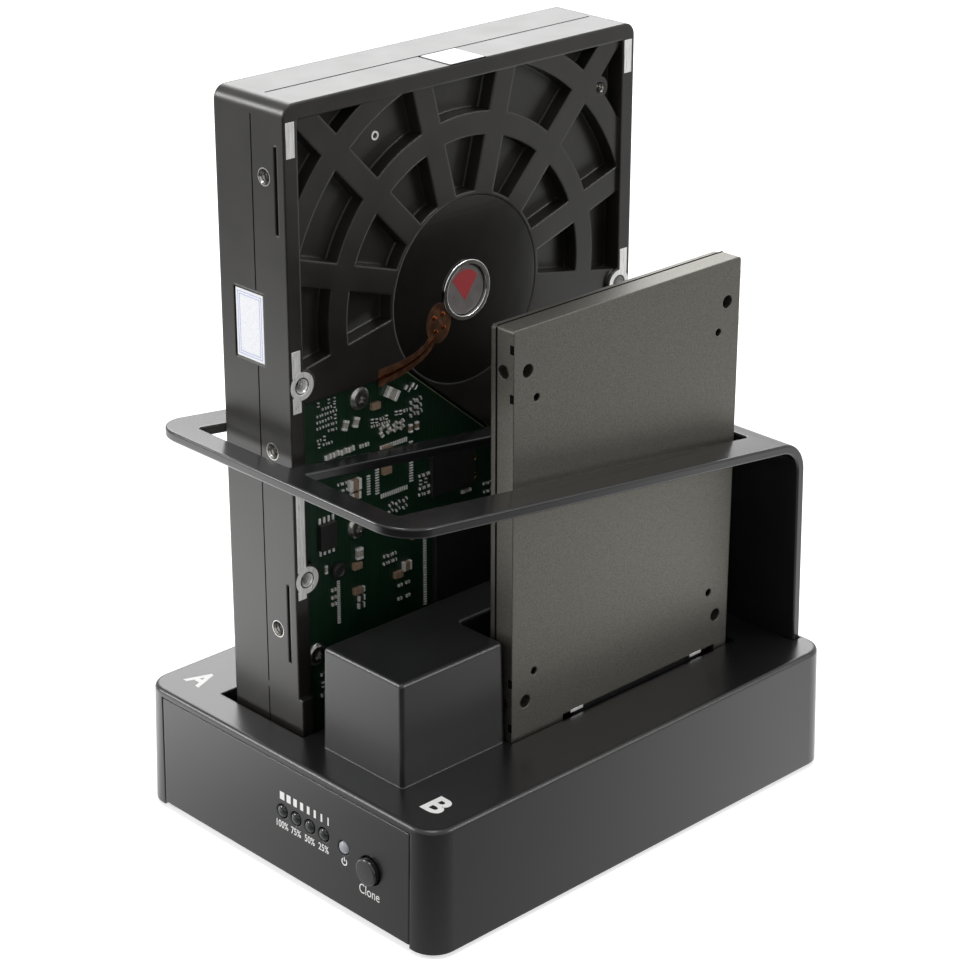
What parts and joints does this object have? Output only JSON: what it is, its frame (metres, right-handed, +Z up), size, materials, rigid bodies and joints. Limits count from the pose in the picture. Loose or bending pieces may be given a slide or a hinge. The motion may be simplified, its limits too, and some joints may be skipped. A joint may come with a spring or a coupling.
{
  "type": "drive duplicator",
  "caption": "Upright drive dock that copies one drive to another: low base with front lights and a button, bent guide frame, a large and a small drive standing in its bays.",
  "frame": {"origin": "on the resting surface, under the middle of the base", "axes": "+X to the right of someone who faces the front panel, from bay A to bay B; +Y to the back; +Z up"},
  "size_m": [0.097, 0.1294, 0.1708],
  "materials": {
    "shell_plastic": "fine-grained black",
    "foot_rubber": "black",
    "screw_steel": "plain",
    "frame_plastic": "satin black",
    "circuit_board": "green solder mask",
    "drive_board": "dark grey solder mask",
    "socket_plastic": "black",
    "chip_epoxy": "black moulding",
    "capacitor_metal": "bright",
    "light_lens": "frosted",
    "port_metal": "tinned",
    "port_tongue": "white",
    "switch_plastic": "black",
    "cast_alloy": "as cast, dark satin",
    "cover_steel": "satin",
    "motor_alloy": "turned",
    "ring_chrome": "polished",
    "motor_cap": "grey",
    "flex_film": "pale film",
    "label_paper": "white",
    "platter_mirror": "polished",
    "arm_alloy": "machined",
    "coil_copper": "wound wire",
    "magnet_steel": "nickel plated",
    "ssd_shell": "black"
  },
  "bodies": {
    "dock": {"top_shell": "shell_plastic", "front_panel": "shell_plastic", "bottom_plate": "shell_plastic", "rubber_feet": "foot_rubber", "bottom_screws": "screw_steel", "frame_screws": "screw_steel", "board_screws": "screw_steel", "guide_frame": "frame_plastic", "main_board": "circuit_board", "socket_a": "socket_plastic", "socket_b": "socket_plastic", "bridge_chip": "chip_epoxy", "board_chips": "chip_epoxy", "capacitors": "capacitor_metal", "light_holder": "socket_plastic", "status_lights": "light_lens", "power_light": "light_lens", "button_switch": "socket_plastic", "data_port": "port_metal", "data_port_tongue": "port_tongue", "power_jack": "socket_plastic", "jack_pin": "port_metal", "switch_case": "switch_plastic"},
    "button": {"clone_button": "shell_plastic", "switch_plunger": "socket_plastic"},
    "rocker": {"switch_rocker": "switch_plastic"},
    "large_drive": {"hdd_casting": "cast_alloy", "hdd_cover": "cover_steel", "hdd_cover_screws": "screw_steel", "hdd_board": "drive_board", "hdd_board_screws": "screw_steel", "hdd_chips": "chip_epoxy", "hdd_capacitors": "capacitor_metal", "hdd_connector": "socket_plastic", "hdd_motor_base": "motor_alloy", "hdd_motor_ring": "ring_chrome", "hdd_motor_cap": "motor_cap", "hdd_flex": "flex_film", "hdd_side_label": "label_paper", "hdd_end_label": "label_paper", "hdd_spindle_post": "motor_alloy", "hdd_pivot_post": "motor_alloy", "hdd_magnets": "magnet_steel"},
    "platter_stack": {"hdd_platters": "platter_mirror", "hdd_spindle_hub": "motor_alloy", "hdd_spacer": "cover_steel", "hdd_clamp": "cover_steel"},
    "head_arm": {"hdd_arm": "arm_alloy", "hdd_coil": "coil_copper"},
    "small_drive": {"ssd_case": "ssd_shell", "ssd_cover": "ssd_shell", "ssd_board": "circuit_board", "ssd_chips": "chip_epoxy", "ssd_connector": "socket_plastic"}
  },
  "joints": [
    {"name": "clone_press", "type": "slide", "parent": "dock", "child": "button", "axis": [0, 1, 0], "range_m": [0, 0.0008], "stiffness_N_per_m": 600, "springref_m": -0.0006},
    {"name": "power_rock", "type": "hinge", "parent": "dock", "child": "rocker", "pos_m": [0.024, 0.0621, 0.0161], "axis": [0, 0, 1], "range_deg": [-20, 0]},
    {"name": "large_drive_lift", "type": "slide", "parent": "dock", "child": "large_drive", "axis": [0, 0, 1], "range_m": [0, 0.085]},
    {"name": "small_drive_lift", "type": "slide", "parent": "dock", "child": "small_drive", "axis": [0, 0, 1], "range_m": [0, 0.085]},
    {"name": "platter_spin", "type": "hinge", "parent": "large_drive", "child": "platter_stack", "pos_m": [-0.018, -0.0024, 0.1199], "axis": [1, 0, 0], "continuous": true},
    {"name": "arm_swing", "type": "hinge", "parent": "large_drive", "child": "head_arm", "pos_m": [-0.018, 0.0228, 0.0669], "axis": [1, 0, 0], "range_deg": [-24, 0]}
  ]
}
